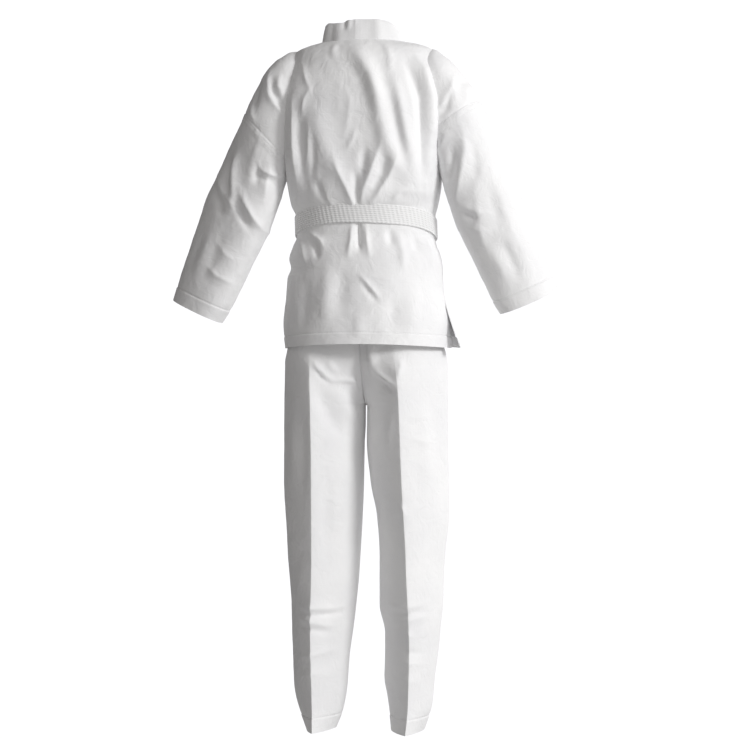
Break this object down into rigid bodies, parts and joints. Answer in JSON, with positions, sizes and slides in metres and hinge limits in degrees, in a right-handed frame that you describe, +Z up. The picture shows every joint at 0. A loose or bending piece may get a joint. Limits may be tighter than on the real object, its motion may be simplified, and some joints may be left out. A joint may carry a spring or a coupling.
{
  "type": "martial arts uniform",
  "caption": "White martial arts uniform worn on an unseen body: pullover jacket with stand collar and flared skirt, knotted belt, creased straight trousers.",
  "frame": {"origin": "centre of the neck opening, level with the seam of the stand collar", "axes": "+Z up along the wearer, +X to the wearer's left, the wearer faces -Y"},
  "size_m": [0.7874, 0.3134, 1.408],
  "materials": {
    "cloth": "white woven polyester and cotton cloth, matt with a faint sheen",
    "seam_band": "the same white cloth doubled and stitched in rows",
    "belt_webbing": "white cotton belt, several layers with parallel rows of stitching",
    "elastic": "matt knitted elastic"
  },
  "bodies": {
    "jacket": {"back_panel": "cloth", "front_panel": "cloth", "collar_stand": "seam_band", "left_lapel": "seam_band", "right_lapel": "seam_band", "belt_inner_wrap": "belt_webbing", "belt_outer_wrap": "belt_webbing", "belt_knot": "belt_webbing"},
    "front_flap": {"front_skirt": "cloth", "front_hem": "seam_band"},
    "back_flap": {"back_skirt": "cloth", "back_hem": "seam_band"},
    "left_tail": {"left_belt_tail": "belt_webbing"},
    "right_tail": {"right_belt_tail": "belt_webbing"},
    "trousers": {"waistband_casing": "cloth", "waist_elastic": "elastic", "seat_back": "cloth", "seat_front": "cloth", "crotch_gusset": "cloth"},
    "left_upper_arm": {"left_upper_sleeve": "cloth"},
    "left_forearm": {"left_forearm_sleeve": "cloth", "left_cuff_hem": "seam_band"},
    "left_thigh": {"left_thigh_front": "cloth", "left_thigh_back": "cloth"},
    "left_shin": {"left_shin_front": "cloth", "left_shin_back": "cloth", "left_leg_hem": "seam_band"},
    "right_upper_arm": {"right_upper_sleeve": "cloth"},
    "right_forearm": {"right_forearm_sleeve": "cloth", "right_cuff_hem": "seam_band"},
    "right_thigh": {"right_thigh_front": "cloth", "right_thigh_back": "cloth"},
    "right_shin": {"right_shin_front": "cloth", "right_shin_back": "cloth", "right_leg_hem": "seam_band"}
  },
  "joints": [
    {"name": "left_shoulder", "type": "hinge", "parent": "jacket", "child": "left_upper_arm", "pos_m": [0.15, 0, -0.072], "axis": [0, -1, 0], "range_deg": [0, 65]},
    {"name": "left_elbow", "type": "hinge", "parent": "left_upper_arm", "child": "left_forearm", "pos_m": [0.25864, 0, -0.34088], "axis": [-0.9272, 0, -0.3746], "range_deg": [0, 80]},
    {"name": "right_shoulder", "type": "hinge", "parent": "jacket", "child": "right_upper_arm", "pos_m": [-0.15, 0, -0.072], "axis": [0, 1, 0], "range_deg": [0, 65]},
    {"name": "right_elbow", "type": "hinge", "parent": "right_upper_arm", "child": "right_forearm", "pos_m": [-0.25864, 0, -0.34088], "axis": [-0.9272, 0, 0.3746], "range_deg": [0, 80]},
    {"name": "front_skirt_lift", "type": "hinge", "parent": "jacket", "child": "front_flap", "pos_m": [0, -0.097, -0.42], "axis": [-1, 0, 0], "range_deg": [0, 30]},
    {"name": "back_skirt_lift", "type": "hinge", "parent": "jacket", "child": "back_flap", "pos_m": [0, 0.097, -0.42], "axis": [1, 0, 0], "range_deg": [0, 30]},
    {"name": "left_tail_swing", "type": "hinge", "parent": "front_flap", "child": "left_tail", "pos_m": [0.024, -0.111, -0.437], "axis": [-1, 0, 0], "range_deg": [0, 60]},
    {"name": "right_tail_swing", "type": "hinge", "parent": "front_flap", "child": "right_tail", "pos_m": [-0.024, -0.111, -0.437], "axis": [-1, 0, 0], "range_deg": [0, 60]},
    {"name": "trousers_pull_down", "type": "slide", "parent": "jacket", "child": "trousers", "axis": [0, 0, -1], "range_m": [0, 0.12]},
    {"name": "left_hip", "type": "hinge", "parent": "trousers", "child": "left_thigh", "pos_m": [0.086, 0, -0.655], "axis": [-1, 0, 0], "range_deg": [-15, 50]},
    {"name": "left_knee", "type": "hinge", "parent": "left_thigh", "child": "left_shin", "pos_m": [0.086, 0, -0.99], "axis": [1, 0, 0], "range_deg": [0, 60]},
    {"name": "right_hip", "type": "hinge", "parent": "trousers", "child": "right_thigh", "pos_m": [-0.086, 0, -0.655], "axis": [-1, 0, 0], "range_deg": [-15, 50]},
    {"name": "right_knee", "type": "hinge", "parent": "right_thigh", "child": "right_shin", "pos_m": [-0.086, 0, -0.99], "axis": [1, 0, 0], "range_deg": [0, 60]}
  ]
}
